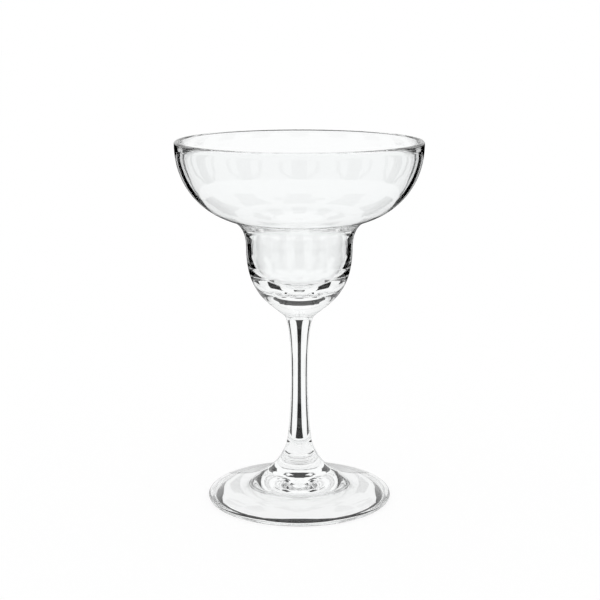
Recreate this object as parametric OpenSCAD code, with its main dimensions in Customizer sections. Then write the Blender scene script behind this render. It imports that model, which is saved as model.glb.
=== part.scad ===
// Margarita glass: a wide upper bowl stepping down into a small cup, on a drawn stem and a
// round foot. The bowl is blown, the stem is drawn and the foot is pressed, and the three are
// joined while hot. Every piece is turned round the upright axis. The table top is z = 0.

/* [Bowl] */
// Outside diameter across the rim
rim_d = 110.8; // [100:0.2:125]
// Height of the wide upper bowl, from the shoulder to the rim
upper_h = 35.1; // [30:0.1:45]
// Outside diameter of the cup at its straight side
cup_d = 47.8; // [42:0.2:56]
// Height of the cup, from the stem up to its straight side
cup_h = 30.6; // [26:0.2:38]
// Height of the shoulder, from the cup's straight side up to the upper bowl
shoulder_h = 13.3; // [10:0.1:16]
// Outside diameter where the shoulder turns into the upper bowl
shoulder_d = 62.4; // [57:0.2:70]
// Slope of the shoulder where it meets the upper bowl, in degrees above level
shoulder_slope = 18; // [15:1:30]
// Thickness of the rounded lip
lip_t = 2.2; // [1.4:0.1:2.8]
// Thickness of the glass under the lip
rim_wall = 2.8; // [2:0.1:3.6]
// Thickness of the glass where the shoulder turns into the upper bowl
shoulder_wall = 1.6; // [1.2:0.1:2.4]
// Thickness of the glass at the cup's straight side
cup_wall = 2.9; // [2.2:0.1:3.6]
// Thickness of solid glass under the cup
base_t = 11; // [7:0.2:15]

/* [Stem] */
// Length of the stem between its two joints
stem_h = 62; // [40:0.5:90]
// Diameter of the stem at its slimmest
waist_d = 7.6; // [6:0.1:10]
// Height of the slimmest place above the lower joint
waist_h = 33; // [20:0.2:40]
// Diameter where the stem is joined to the bowl
neck_d = 14.4; // [12:0.1:18]
// Lean of the neck at that joint, in degrees from upright
neck_lean = 49; // [30:1:55]
// Diameter where the stem is joined to the foot
ankle_d = 12.7; // [11:0.1:16]
// Lean of the ankle at that joint, in degrees from upright
ankle_lean = 22; // [12:1:30]

/* [Foot] */
// Outside diameter of the foot
foot_d = 84.2; // [76:0.2:95]
// Height of the foot piece, from the table to its joint with the stem
foot_h = 24; // [18:0.2:30]
// Thickness of the foot at its rounded edge
edge_t = 2.4; // [1.6:0.1:3.5]
// Slope of the top of the foot at its edge, in degrees above level
foot_slope = 15; // [8:1:18]
// Height of the hollow under the middle of the foot
hollow_h = 8.5; // [5:0.1:9.5]
// Steepness of the hollow's side where it rises from the ring, in degrees above level
hollow_lean = 60; // [45:1:65]
// Width of the flat ring that the foot stands on
ring_w = 1.5; // [1:0.1:4]

/* [Hidden] */
$fn = 96;

// Steps along each curve of an outline
curve_steps = 28;
// Steps round the lip and round the edge of the foot
round_steps = 10;
// How late along the upper bowl's inner curve the wall slims to the lip
slimming_power = 40;
// Colour of clear glass
glass = [0.90, 0.94, 0.95, 0.35];

// Heights above the table
foot_joint_z = foot_h;
waist_z = foot_joint_z + waist_h;
bowl_joint_z = foot_joint_z + stem_h;
cup_floor_z = bowl_joint_z + base_t;
side_z = bowl_joint_z + cup_h;
shoulder_z = side_z + shoulder_h;
rim_z = shoulder_z + upper_h;

// How far each curve leans on its end directions, as shares of the height or width it spans
neck_to_cup_share = 0.30;
cup_side_share = 0.65;
side_to_shoulder_share = 0.55;
shoulder_in_share = 0.70;
shoulder_out_share = 0.56;
rim_share = 0.53;
above_waist_share = 0.53;
below_waist_share = 0.44;
neck_share = 0.12;
ankle_share = 0.11;
flare_share = 0.55;
foot_top_share = 0.71;
hollow_top_share = 0.20;
hollow_side_share = 0.40;
cup_floor_share = 0.62;
cup_inside_share = 0.74;
inner_side_share = 0.68;
inner_shoulder_share = 0.85;
inner_out_share = 0.50;
inner_rim_share = 0.50;

// A point on the curve that leaves a towards b and reaches d from c
function curve_point(a, b, c, d, t) =
    pow(1 - t, 3) * a + 3 * t * pow(1 - t, 2) * b + 3 * t * t * (1 - t) * c + pow(t, 3) * d;

// All the points of one curve, from its handles [a, b, c, d]
function along(h) =
    [for (i = [0 : curve_steps]) curve_point(h[0], h[1], h[2], h[3], i / curve_steps)];

// Points of an arc round a centre, from one angle to another, without its two ends
function arc(centre, r, from, to) =
    [for (i = [1 : round_steps - 1])
        let (angle = from + (to - from) * i / round_steps)
        centre + r * [cos(angle), sin(angle)]];

function reversed(points) = [for (i = [len(points) - 1 : -1 : 0]) points[i]];

// A point that lies a distance away at an angle above level
function beside(point, distance, angle) = point + distance * [cos(angle), sin(angle)];

// Places on the outline, as [distance from the axis, height]
ankle = [ankle_d / 2, foot_joint_z];
waist = [waist_d / 2, waist_z];
neck = [neck_d / 2, bowl_joint_z];
cup_side = [cup_d / 2, side_z];
shoulder = [shoulder_d / 2, shoulder_z];
lip_outer = [rim_d / 2, rim_z - lip_t / 2];

// Outer curves of the bowl
cup_outer = [
    neck,
    beside(neck, neck_to_cup_share * cup_h, 90 - neck_lean),
    cup_side - [0, cup_side_share * cup_h],
    cup_side
];
shoulder_outer = [
    cup_side,
    cup_side + [0, side_to_shoulder_share * shoulder_h],
    beside(shoulder, shoulder_in_share * (cup_side[0] - shoulder[0]), shoulder_slope),
    shoulder
];
upper_outer = [
    shoulder,
    beside(shoulder, shoulder_out_share * (lip_outer[0] - shoulder[0]), shoulder_slope),
    lip_outer - [0, rim_share * upper_h],
    lip_outer
];

// Inner curves of the bowl, from the axis up to the rim
cup_inner_side = cup_side - [cup_wall, 0];
inner_turn = beside(shoulder, shoulder_wall, 90 + shoulder_slope);
rim_inner = lip_outer - [rim_wall, 0];
cup_inner = [
    [0, cup_floor_z],
    [cup_floor_share * cup_inner_side[0], cup_floor_z],
    cup_inner_side - [0, cup_inside_share * (side_z - cup_floor_z)],
    cup_inner_side
];
shoulder_inner = [
    cup_inner_side,
    cup_inner_side + [0, inner_side_share * shoulder_h],
    beside(inner_turn, inner_shoulder_share * (cup_inner_side[0] - inner_turn[0]), shoulder_slope),
    inner_turn
];
upper_inner = [
    inner_turn,
    beside(inner_turn, inner_out_share * (rim_inner[0] - inner_turn[0]), shoulder_slope),
    rim_inner - [0, inner_rim_share * upper_h],
    rim_inner
];

// The upper bowl's inner curve, which bends outwards just under the lip to make the lip slimmer
function slimmed(points, amount) =
    [for (i = [0 : curve_steps]) points[i] + [amount * pow(i / curve_steps, slimming_power), 0]];

module bowl() {
    lip = [lip_outer[0] - lip_t / 2, lip_outer[1]];
    color(glass)
        rotate_extrude()
            polygon(concat(
                [[0, bowl_joint_z]],
                along(cup_outer),
                along(shoulder_outer),
                along(upper_outer),
                arc(lip, lip_t / 2, 0, 180),
                reversed(slimmed(along(upper_inner), rim_wall - lip_t)),
                reversed(along(shoulder_inner)),
                reversed(along(cup_inner))
            ));
}

module stem() {
    lower = [
        ankle,
        beside(ankle, ankle_share * waist_h, 90 + ankle_lean),
        waist - [0, below_waist_share * waist_h],
        waist
    ];
    upper = [
        waist,
        waist + [0, above_waist_share * (bowl_joint_z - waist_z)],
        beside(neck, neck_share * (waist_z - bowl_joint_z), 90 - neck_lean),
        neck
    ];
    color(glass)
        rotate_extrude()
            polygon(concat(
                [[0, foot_joint_z]],
                along(lower),
                along(upper),
                [[0, bowl_joint_z]]
            ));
}

module foot() {
    edge_r = edge_t / 2;
    // The middle of the rounded edge, and the top of the foot where that edge begins
    edge = [foot_d / 2 - edge_r, edge_r];
    edge_top = beside(edge, edge_r, 90 - foot_slope);
    top = [
        ankle,
        beside(ankle, -flare_share * (foot_h - edge_t), 90 + ankle_lean),
        beside(edge_top, -foot_top_share * (edge_top[0] - ankle[0]), -foot_slope),
        edge_top
    ];
    // The hollow under the foot, from the axis out to the ring that it stands on
    ring_in = [edge[0] - ring_w, 0];
    hollow = [
        [0, hollow_h],
        [hollow_top_share * ring_in[0], hollow_h],
        beside(ring_in, hollow_side_share * hollow_h, 180 - hollow_lean),
        ring_in
    ];
    color(glass)
        rotate_extrude()
            polygon(concat(
                along(hollow),
                [[edge[0], 0]],
                arc(edge, edge_r, -90, 90 - foot_slope),
                reversed(along(top)),
                [[0, foot_joint_z]]
            ));
}

bowl();
stem();
foot();
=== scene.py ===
import math

import bpy
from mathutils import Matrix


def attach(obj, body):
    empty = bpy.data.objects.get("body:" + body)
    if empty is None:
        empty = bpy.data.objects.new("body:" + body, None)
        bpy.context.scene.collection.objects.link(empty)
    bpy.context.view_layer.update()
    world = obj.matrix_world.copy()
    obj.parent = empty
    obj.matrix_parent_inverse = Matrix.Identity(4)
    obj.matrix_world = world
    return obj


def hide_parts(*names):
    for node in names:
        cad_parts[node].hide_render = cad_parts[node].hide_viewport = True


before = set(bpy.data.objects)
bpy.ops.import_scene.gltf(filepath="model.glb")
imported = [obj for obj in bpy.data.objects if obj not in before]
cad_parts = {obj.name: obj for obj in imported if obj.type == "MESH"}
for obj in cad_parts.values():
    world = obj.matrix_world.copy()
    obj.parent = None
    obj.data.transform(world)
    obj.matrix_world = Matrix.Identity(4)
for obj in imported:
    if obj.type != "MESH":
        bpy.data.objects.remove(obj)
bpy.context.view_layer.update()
mm = 0.001
print("frame loaded")


def linear(hexColour):
    # an sRGB hex value as the linear colour that a socket takes
    parts = [int(hexColour[i:i + 2], 16) / 255 for i in (1, 3, 5)]
    return [p / 12.92 if p <= 0.04045 else ((p + 0.055) / 1.055) ** 2.4 for p in parts] + [1.0]


def addNode(owner, kind, settings=None, links=None):
    # adds one node with its settings, and links what feeds it: {socket: output socket}
    tree = owner.node_tree
    node = tree.nodes.new(kind)
    for name, value in (settings or {}).items():
        if isinstance(name, int) or name in node.inputs:
            node.inputs[name].default_value = value
        else:
            setattr(node, name, value)
    for name, source in (links or {}).items():
        tree.links.new(source, node.inputs[name])
    return node


def emptyMaterial(name):
    material = bpy.data.materials.new(name)
    material.use_nodes = True
    material.node_tree.nodes.clear()
    return material


# The outline of the glass
# Every piece is turned round the upright axis, so each CAD node's mesh is circles joined in order.
# The three chains of circles are read from the frame and joined end to end at the fused joints.
outlineSettings = {
    "sameCircle": 0.004 * mm,  # vertices closer than this in radius and height are on one circle
    "cornerAngle": 30.0,       # a sharper turn than this, in degrees, is a real corner
    "stepChange": 3.0,         # where a step is this many times its neighbour, two curves meet
    "between": 2,              # how many steps each step of the CAD outline is split into
}


def chainOf(node):
    # the circles of one turned node as (radius, height), in order along its outline
    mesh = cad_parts[node].data
    circles, found, onCircle = [], {}, []
    near = outlineSettings["sameCircle"]
    for vertex in mesh.vertices:
        spot = (math.hypot(vertex.co.x, vertex.co.y), vertex.co.z)
        key = (round(spot[0] / near), round(spot[1] / near))
        around = [(key[0] + i, key[1] + j) for i in (0, -1, 1) for j in (0, -1, 1)]
        index = next((found[k] for k in around if k in found), None)
        if index is None:
            index = found[key] = len(circles)
            circles.append(spot)
        onCircle.append(index)
    nextTo = [set() for _ in circles]
    for edge in mesh.edges:
        a, b = (onCircle[v] for v in edge.vertices)
        if a != b:
            nextTo[a].add(b)
            nextTo[b].add(a)
    ends = [i for i, others in enumerate(nextTo) if len(others) == 1]
    if len(ends) != 2 or any(len(others) > 2 for others in nextTo):
        raise ValueError(f"{node} isn't one chain of circles")
    chain, last = [ends[0]], None
    while len(chain) < len(circles):
        here = chain[-1]
        chain.append(next(i for i in nextTo[here] if i != last))
        last = here
    return [circles[i] for i in chain]


def gap(a, b):
    return math.hypot(a[0] - b[0], a[1] - b[1])


def wholeOutline(nodes):
    # joins the chains from the foot's hollow, up the outside, over the rim and down into the cup
    whole, joints = [], []
    for node in nodes:
        chain = chainOf(node)
        if not whole:
            if chain[0][0] > chain[-1][0]:
                chain.reverse()
        elif gap(whole[-1], chain[-1]) < gap(whole[-1], chain[0]):
            chain.reverse()
        if whole:
            joints.append(len(whole) - 1)
            chain = chain[1:]
        whole += chain
    return whole, joints


def isCorner(points, i):
    # a sharp turn, or a sudden change of step, which is where two curves of the outline meet
    a, b, c = points[i - 1], points[i], points[i + 1]
    first = math.atan2(b[1] - a[1], b[0] - a[0])
    second = math.atan2(c[1] - b[1], c[0] - b[0])
    turn = abs((math.degrees(second - first) + 180) % 360 - 180)
    shorter, longer = sorted((gap(a, b), gap(b, c)))
    return turn > outlineSettings["cornerAngle"] or longer / shorter > outlineSettings["stepChange"]


def headingAt(points, i, low, high):
    # the outline's direction at a point of a smooth run, from a parabola through its neighbours
    if low < i < high:
        a, b, c = points[i - 1], points[i], points[i + 1]
        u, v = gap(a, b), gap(b, c)
        d = [((b[k] - a[k]) / u * v + (c[k] - b[k]) / v * u) / (u + v) for k in (0, 1)]
    else:
        step = 1 if i == low else -1
        a, b = points[i], points[i + step]
        d = [step * (b[k] - a[k]) for k in (0, 1)]
        if abs(high - low) > 1:
            inner = headingAt(points, i + step, low, high)
            chord = [x / gap(a, b) for x in d]
            d = [2 * chord[k] - inner[k] for k in (0, 1)]
    length = math.hypot(*d)
    return [x / length for x in d]


def alongStep(a, b, headingA, headingB, t):
    # the place and heading at share t of the curve that leaves a and reaches b along their headings
    size = gap(a, b)
    place = [
        (2 * t ** 3 - 3 * t ** 2 + 1) * a[k] + (t ** 3 - 2 * t ** 2 + t) * size * headingA[k]
        + (3 * t ** 2 - 2 * t ** 3) * b[k] + (t ** 3 - t ** 2) * size * headingB[k] for k in (0, 1)]
    slope = [
        (6 * t ** 2 - 6 * t) * a[k] + (3 * t ** 2 - 4 * t + 1) * size * headingA[k]
        + (6 * t - 6 * t ** 2) * b[k] + (3 * t ** 2 - 2 * t) * size * headingB[k] for k in (0, 1)]
    length = math.hypot(*slope)
    return place, [x / length for x in slope]


def refined(points, joints):
    # splits every step along a smooth curve; each point keeps the heading before it and after it
    corners = [i for i in range(1, len(points) - 1) if isCorner(points, i)]
    marks = [0] + corners + [len(points) - 1]
    times = outlineSettings["between"]
    fine, newJoints, lastHeading = [], [], None
    for low, high in zip(marks, marks[1:]):
        headings = [headingAt(points, i, low, high) for i in range(low, high + 1)]
        if points[low][0] < outlineSettings["sameCircle"]:
            headings[0] = [1.0, 0.0]   # level where it leaves the axis
        if points[high][0] < outlineSettings["sameCircle"]:
            headings[-1] = [-1.0, 0.0]
        for i in range(low, high):
            if i in joints:
                newJoints.append(len(fine))
            for s in range(times):
                place, heading = alongStep(points[i], points[i + 1], headings[i - low],
                                           headings[i + 1 - low], s / times)
                atCorner = s == 0 and i == low and fine
                fine.append((place, lastHeading if atCorner else heading, heading))
        lastHeading = headings[-1]
    fine.append((list(points[-1]), lastHeading, lastHeading))
    return fine, newJoints


outline, jointPlaces = refined(*wholeOutline(["foot", "stem", "bowl"]))
print("outline read:", len(outline), "circles, joints at", jointPlaces)


def turned(name, start, end, steps):
    # turns one stretch of the outline round the axis into a closed mesh; joint discs take slot 1
    tiny = outlineSettings["sameCircle"]
    stretch = outline[start:end + 1]
    vertices, rings = [], []
    for place, _, _ in stretch:
        if place[0] < tiny:
            rings.append([len(vertices)] * steps)
            vertices.append((0, 0, place[1]))
        else:
            rings.append(list(range(len(vertices), len(vertices) + steps)))
            for k in range(steps):
                angle = 2 * math.pi * k / steps
                vertices.append((place[0] * math.cos(angle), place[0] * math.sin(angle), place[1]))
    faces, slots, normals = [], [], []

    def face(corners, slot):
        # a corner is (vertex, heading along the outline, step round the axis)
        faces.append([c[0] for c in corners])
        slots.append(slot)
        for _, heading, k in corners:
            angle = 2 * math.pi * k / steps
            normals.append((heading[1] * math.cos(angle), heading[1] * math.sin(angle), -heading[0]))

    for i in range(len(stretch) - 1):
        below, above = stretch[i][2], stretch[i + 1][1]
        for k in range(steps):
            n = (k + 1) % steps
            corners = [(rings[i][k], below, k), (rings[i][n], below, n),
                       (rings[i + 1][n], above, n), (rings[i + 1][k], above, k)]
            if rings[i][k] == rings[i][n]:
                corners.pop(1)
            if rings[i + 1][k] == rings[i + 1][n]:
                corners.pop(-2)
            face(corners, 0)
    for i, down in ((0, True), (len(stretch) - 1, False)):
        if stretch[i][0][0] < tiny:
            continue
        middle = len(vertices)
        vertices.append((0, 0, stretch[i][0][1]))
        flat = (1.0, 0.0) if down else (-1.0, 0.0)
        for k in range(steps):
            n = (k + 1) % steps
            pair = [(rings[i][n], flat, n), (rings[i][k], flat, k)]
            face([(middle, flat, k)] + (pair if down else pair[::-1]), 1)
    mesh = bpy.data.meshes.new(name)
    mesh.from_pydata(vertices, [], faces)
    mesh.polygons.foreach_set("use_smooth", [True] * len(faces))
    mesh.polygons.foreach_set("material_index", slots)
    mesh.normals_split_custom_set(normals)
    mesh.update()
    piece = bpy.data.objects.new(name, mesh)
    bpy.context.scene.collection.objects.link(piece)
    return piece


def glassMaterial(name, finish):
    # Clear soda-lime glass. The eye gets no colour from it, only bent and mirrored surroundings,
    # which slow waves in the surface disturb a little, as they do in real pressed and blown glass.
    material = emptyMaterial(name)
    where = addNode(material, "ShaderNodeNewGeometry")
    stretch = addNode(material, "ShaderNodeVectorMath",
                      {"operation": "MULTIPLY", 1: finish["stretch"]}, {0: where.outputs["Position"]})
    waves = addNode(material, "ShaderNodeTexNoise",
                    {"Scale": 1 / (finish["waveLength"] * mm), "Detail": 1.0, "Roughness": 0.4},
                    {"Vector": stretch.outputs[0]})
    bump = addNode(material, "ShaderNodeBump",
                   {"Strength": 1.0, "Distance": finish["waveHeight"] * mm},
                   {"Height": waves.outputs["Fac"]})
    glass = addNode(material, "ShaderNodeBsdfPrincipled",
                    {"Base Color": linear(finish["colour"]), "Roughness": finish["roughness"],
                     "IOR": finish["ior"], "Transmission Weight": 1.0},
                    {"Normal": bump.outputs["Normal"]})
    addNode(material, "ShaderNodeOutputMaterial", None, {"Surface": glass.outputs[0]})
    return material


# Fused joint: hot glass runs together, so no surface is left inside and light goes straight on
fusedJoint = emptyMaterial("fused glass joint")
through = addNode(fusedJoint, "ShaderNodeBsdfTransparent", {"Color": linear("#ffffff")})
addNode(fusedJoint, "ShaderNodeOutputMaterial", None, {"Surface": through.outputs[0]})

# Steps are round the axis. Wave lengths and heights are in mm, and a stretch below 1 draws them out.
foot = {
    "steps": 256,
    "finish": {"colour": "#fdfefe", "ior": 1.52, "roughness": 0.0,   # pressed, then fire-polished
               "stretch": (1, 1, 1), "waveLength": 9.0, "waveHeight": 0.004},
}
stem = {
    "steps": 256,
    "finish": {"colour": "#fdfefe", "ior": 1.52, "roughness": 0.0,   # drawn, so waves run along it
               "stretch": (1, 1, 0.3), "waveLength": 4.0, "waveHeight": 0.001},
}
bowl = {
    "steps": 256,
    "finish": {"colour": "#fdfefe", "ior": 1.52, "roughness": 0.0,   # blown, with long soft waves
               "stretch": (1, 1, 1), "waveLength": 20.0, "waveHeight": 0.003},
}
looks = [
    ("pressedFoot", "foot", foot, "pressed soda-lime glass"),
    ("drawnStem", "stem", stem, "drawn soda-lime glass"),
    ("blownBowl", "bowl", bowl, "blown soda-lime glass"),
]
places = [0] + jointPlaces + [len(outline) - 1]
for (name, node, settings, finishName), start, end in zip(looks, places, places[1:]):
    piece = turned(name, start, end, settings["steps"])
    piece.data.materials.append(glassMaterial(finishName, settings["finish"]))
    piece.data.materials.append(fusedJoint)
    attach(piece, "root")
    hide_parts(node)
    print(name, "turned:", len(piece.data.polygons), "faces")

# Studio
# A white floor and a white sky. The dark lines in the glass come from black cards round it.
studio = {
    "sky": "#ffffff",
    "mirrored": 0.9,    # how bright the sky is where the glass mirrors it
    "card": "#050505",
    "fewestSteps": 6,   # across one card
    "widestStep": 6,    # degrees across one step of a wide card
}
floor = {
    "half": 6.0,        # metres from the middle to its edge
    "drop": 0.05 * mm,  # a hair under the foot
    "colour": "#ffffff",
    "lit": 0.15,        # the share of its white that the glass can shade
    "mirrored": 0.45,   # how bright it is where the glass mirrors it
}


def mirroredLevel(owner, rays, mirroredShare):
    # full strength, but less for what the glass mirrors, so that the rim and sides keep dark lines
    mirrored = addNode(owner, "ShaderNodeMath", {"operation": "MULTIPLY"},
                       {0: rays.outputs["Is Glossy Ray"], 1: rays.outputs["Is Reflection Ray"]})
    return addNode(owner, "ShaderNodeMath",
                   {"operation": "MULTIPLY_ADD", 1: mirroredShare - 1, 2: 1.0}, {0: mirrored.outputs[0]})


def staged(name, vertices, faces, material):
    mesh = bpy.data.meshes.new(name)
    mesh.from_pydata(vertices, [], faces)
    mesh.materials.append(material)
    thing = bpy.data.objects.new(name, mesh)
    bpy.context.scene.collection.objects.link(thing)
    return thing


def floorMaterial():
    # White studio floor, rolled smooth and matt: it glows white, and a small share of it is lit by
    # the sky, so the glass leaves a soft shadow.
    material = emptyMaterial("white studio floor")
    litColour = [floor["lit"] * c for c in linear(floor["colour"])[:3]] + [1.0]
    paint = addNode(material, "ShaderNodeBsdfDiffuse", {"Color": litColour})
    rays = addNode(material, "ShaderNodeLightPath")
    shown = addNode(material, "ShaderNodeMath", {"operation": "SUBTRACT", 0: 1.0},
                    {1: rays.outputs["Is Diffuse Ray"]})
    mirrored = mirroredLevel(material, rays, floor["mirrored"])
    level = addNode(material, "ShaderNodeMath", {"operation": "MULTIPLY"},
                    {0: mirrored.outputs[0], 1: shown.outputs[0]})
    strength = addNode(material, "ShaderNodeMath", {"operation": "MULTIPLY", 1: 1 - floor["lit"]},
                       {0: level.outputs[0]})
    glow = addNode(material, "ShaderNodeEmission", {"Color": linear(floor["colour"])},
                   {"Strength": strength.outputs[0]})
    both = addNode(material, "ShaderNodeAddShader", None, {0: paint.outputs[0], 1: glow.outputs[0]})
    addNode(material, "ShaderNodeOutputMaterial", None, {"Surface": both.outputs[0]})
    return material


half, z = floor["half"], -floor["drop"]
staged("floor", [(-half, -half, z), (half, -half, z), (half, half, z), (-half, half, z)],
       [(0, 1, 2, 3)], floorMaterial())

world = bpy.data.worlds.new("studio")
bpy.context.scene.world = world
world.use_nodes = True
world.node_tree.nodes.clear()
skyRays = addNode(world, "ShaderNodeLightPath")
sky = addNode(world, "ShaderNodeBackground", {"Color": linear(studio["sky"])},
              {"Strength": mirroredLevel(world, skyRays, studio["mirrored"]).outputs[0]})
addNode(world, "ShaderNodeOutputWorld", None, {"Surface": sky.outputs[0]})


def cardMaterial(name, fewest, most):
    # Matt black card, there only for light that has met so many glass surfaces, and clear for the
    # rest. Straight through the bowl stays white, while the bent edges find the card.
    material = emptyMaterial(name)
    rays = addNode(material, "ShaderNodeLightPath")
    # Ray Depth is a whole number, so each limit lies half way to the next one
    enough = addNode(material, "ShaderNodeMath", {"operation": "GREATER_THAN", 1: fewest - 0.5},
                     {0: rays.outputs["Ray Depth"]})
    notTooMany = addNode(material, "ShaderNodeMath", {"operation": "LESS_THAN", 1: most + 0.5},
                         {0: rays.outputs["Ray Depth"]})
    there = addNode(material, "ShaderNodeMath", {"operation": "MULTIPLY"},
                    {0: enough.outputs[0], 1: notTooMany.outputs[0]})
    clear = addNode(material, "ShaderNodeBsdfTransparent", {"Color": linear("#ffffff")})
    black = addNode(material, "ShaderNodeBsdfDiffuse", {"Color": linear(studio["card"])})
    card = addNode(material, "ShaderNodeMixShader", None,
                   {0: there.outputs[0], 1: clear.outputs[0], 2: black.outputs[0]})
    addNode(material, "ShaderNodeOutputMaterial", None, {"Surface": card.outputs[0]})
    return material


# Each card is rows of (distance from the axis, height, from, to), in mm and in degrees turned from
# straight behind the glass, and stands again at every turn listed. The surfaces are how many the
# light has met, fewest and most: 2 through the stem, 3 round an edge, 4 through the bowl, more when
# trapped. Cards that overlap stand a little apart, or light that passes one would miss the next.
allRound = [45 * k for k in range(8)]
cards = {
    # the edges of the upper bowl, and the thin second line inside them
    "bowl edge cards": {
        "surfaces": (3, 3), "turns": allRound,
        "shapes": [[(150, 80, -6, 6), (150, 150, -6, 6)]]},
    "second line cards": {
        "surfaces": (3, 3), "turns": allRound,
        "shapes": [[(151, 84, 6.5, 10.5), (151, 94, 7.5, 10.5),
                    (151, 106, 12, 15.5), (151, 138, 13.5, 16.5)],
                   [(151, 84, -10.5, -6.5), (151, 94, -10.5, -7.5),
                    (151, 106, -15.5, -12), (151, 138, -16.5, -13.5)]]},
    "bowl inner edge cards": {
        "surfaces": (5, 8), "turns": allRound,
        "shapes": [[(152, 80, -11, 11), (152, 150, -11, 11)]]},
    "wall line cards": {
        "surfaces": (4, 4), "turns": [0],
        "shapes": [[(300, 78, 30, 36), (300, 118, 30, 36)],
                   [(300, 78, -36, -30), (300, 118, -36, -30)]]},
    # the edges of the cup and the bands in its solid base
    "cup edge cards": {
        "surfaces": (3, 3), "turns": allRound,
        "shapes": [[(70, 75, -17, 17), (70, 92, -15, 15),
                    (70, 105, -10, 10), (70, 117, -9.5, 9.5)]]},
    "cup ring card": {
        "surfaces": (5, 5), "turns": [0],
        "shapes": [[(71, 75, 0, 360), (71, 117, 0, 360)]]},
    # the streak and the sides of the stem, and the marks at its lower end
    "stem cards": {
        "surfaces": (2, 2), "turns": allRound,
        "shapes": [[(50, 0.3, -13, 13), (59, 0.3, -12, 12), (60, 8, -9.5, 9.5),
                    (60, 30, -7.5, 7.5), (60, 60, -6.6, 6.6), (60, 80, -7.5, 7.5),
                    (60, 95, -9, 9), (60, 115, -12, 12)]]},
    "ankle cards": {
        "surfaces": (3, 3), "turns": allRound,
        "shapes": [[(46, 0.4, -12, 12), (80, 0.4, -12, 12)]]},
    # the flare, the hollow and the edge of the foot, and a painted contact shadow on the floor under the
    # foot's edge
    "flare cards": {
        "surfaces": (3, 3), "turns": allRound,
        "shapes": [[(100, 28, 16.5, 28.5), (100, 50, 16.5, 28.5)]]},
    "foot cards": {
        "surfaces": (4, 4), "turns": allRound,
        "shapes": [[(61, 6, 14, 31), (61, 44, 14, 31)]]},
    "far floor card": {
        "surfaces": (1, 1), "turns": [0],   # mirrored in every outer edge
        "shapes": [[(280, 0.25, 0, 360), (5900, 0.25, 0, 360)]]},
    # painted contact shadow: black cards on the floor under the foot's edge on four sides, seen only
    # through the foot, paint the shade where it meets the floor
    "painted contact shadow cards": {
        "surfaces": (2, 4), "turns": [0, 90, 180, 270],
        "shapes": [[(35.2, 0.03, -3, 3), (36.4, 0.03, -13, 13),
                    (38, 0.03, -24, 24), (39.3, 0.03, -44, 44)]]},
    # painted contact shadow: a thin black ring on the floor under the foot's edge, seen only straight
    # through the foot
    "painted contact shadow ring": {
        "surfaces": (2, 2), "turns": [0],
        "shapes": [[(38.2, 0.02, 0, 360), (39.3, 0.02, 0, 360)]]},
    # the lines of the rim, where light goes round inside the lip
    "rim line cards": {
        "surfaces": (2, 2), "turns": allRound,
        "shapes": [[(90, 0.3, -9, 9), (200, 0.3, -7, 7), (340, 0.3, -6, 6)]]},
    "lip card": {
        "surfaces": (9, 17), "turns": [0],
        "shapes": [[(600, 0.3, 0, 360), (600, 600, 0, 360)]]},
    "rim cards": {
        "surfaces": (18, 99), "turns": allRound,
        "shapes": [[(605, 0.3, -13, 13), (605, 600, -13, 13)]]},
}
for name, card in cards.items():
    vertices, faces = [], []
    for turn in card["turns"]:
        for rows in card["shapes"]:
            widest = rows[0][3] - rows[0][2]
            across = max(studio["fewestSteps"], round(widest / studio["widestStep"]))
            base = len(vertices)
            for radius, height, start, end in rows:
                for s in range(across + 1):
                    angle = math.radians(turn + start + (end - start) * s / across)
                    x, y = radius * mm * math.sin(angle), radius * mm * math.cos(angle)
                    vertices.append((x, y, height * mm))
            for r in range(len(rows) - 1):
                for s in range(across):
                    a = base + r * (across + 1) + s
                    faces.append((a, a + 1, a + across + 2, a + across + 1))
    thing = staged(name, vertices, faces, cardMaterial("matt black, " + name, *card["surfaces"]))
    thing.visible_camera = thing.visible_diffuse = thing.visible_shadow = False
print("studio built")

cameraSettings = {
    "place": (0.00029, -0.614, 0.2231),   # metres
    "down": 11.99,                        # degrees below level
    "lens": 83.09,                        # mm, on the sensor below
    "sensor": 36.0,
}
cameraData = bpy.data.cameras.new("camera")
cameraData.lens = cameraSettings["lens"]
cameraData.sensor_width = cameraSettings["sensor"]
camera = bpy.data.objects.new("camera", cameraData)
camera.location = cameraSettings["place"]
camera.rotation_euler = (math.radians(90 - cameraSettings["down"]), 0, 0)
bpy.context.scene.collection.objects.link(camera)
bpy.context.scene.camera = camera

scene = bpy.context.scene
scene.view_settings.view_transform = "Standard"
lightBounces = 40   # light goes round inside the lip and the solid base many times
scene.cycles.max_bounces = lightBounces
scene.cycles.transmission_bounces = lightBounces
scene.cycles.glossy_bounces = lightBounces
scene.cycles.transparent_max_bounces = lightBounces
print("camera set")
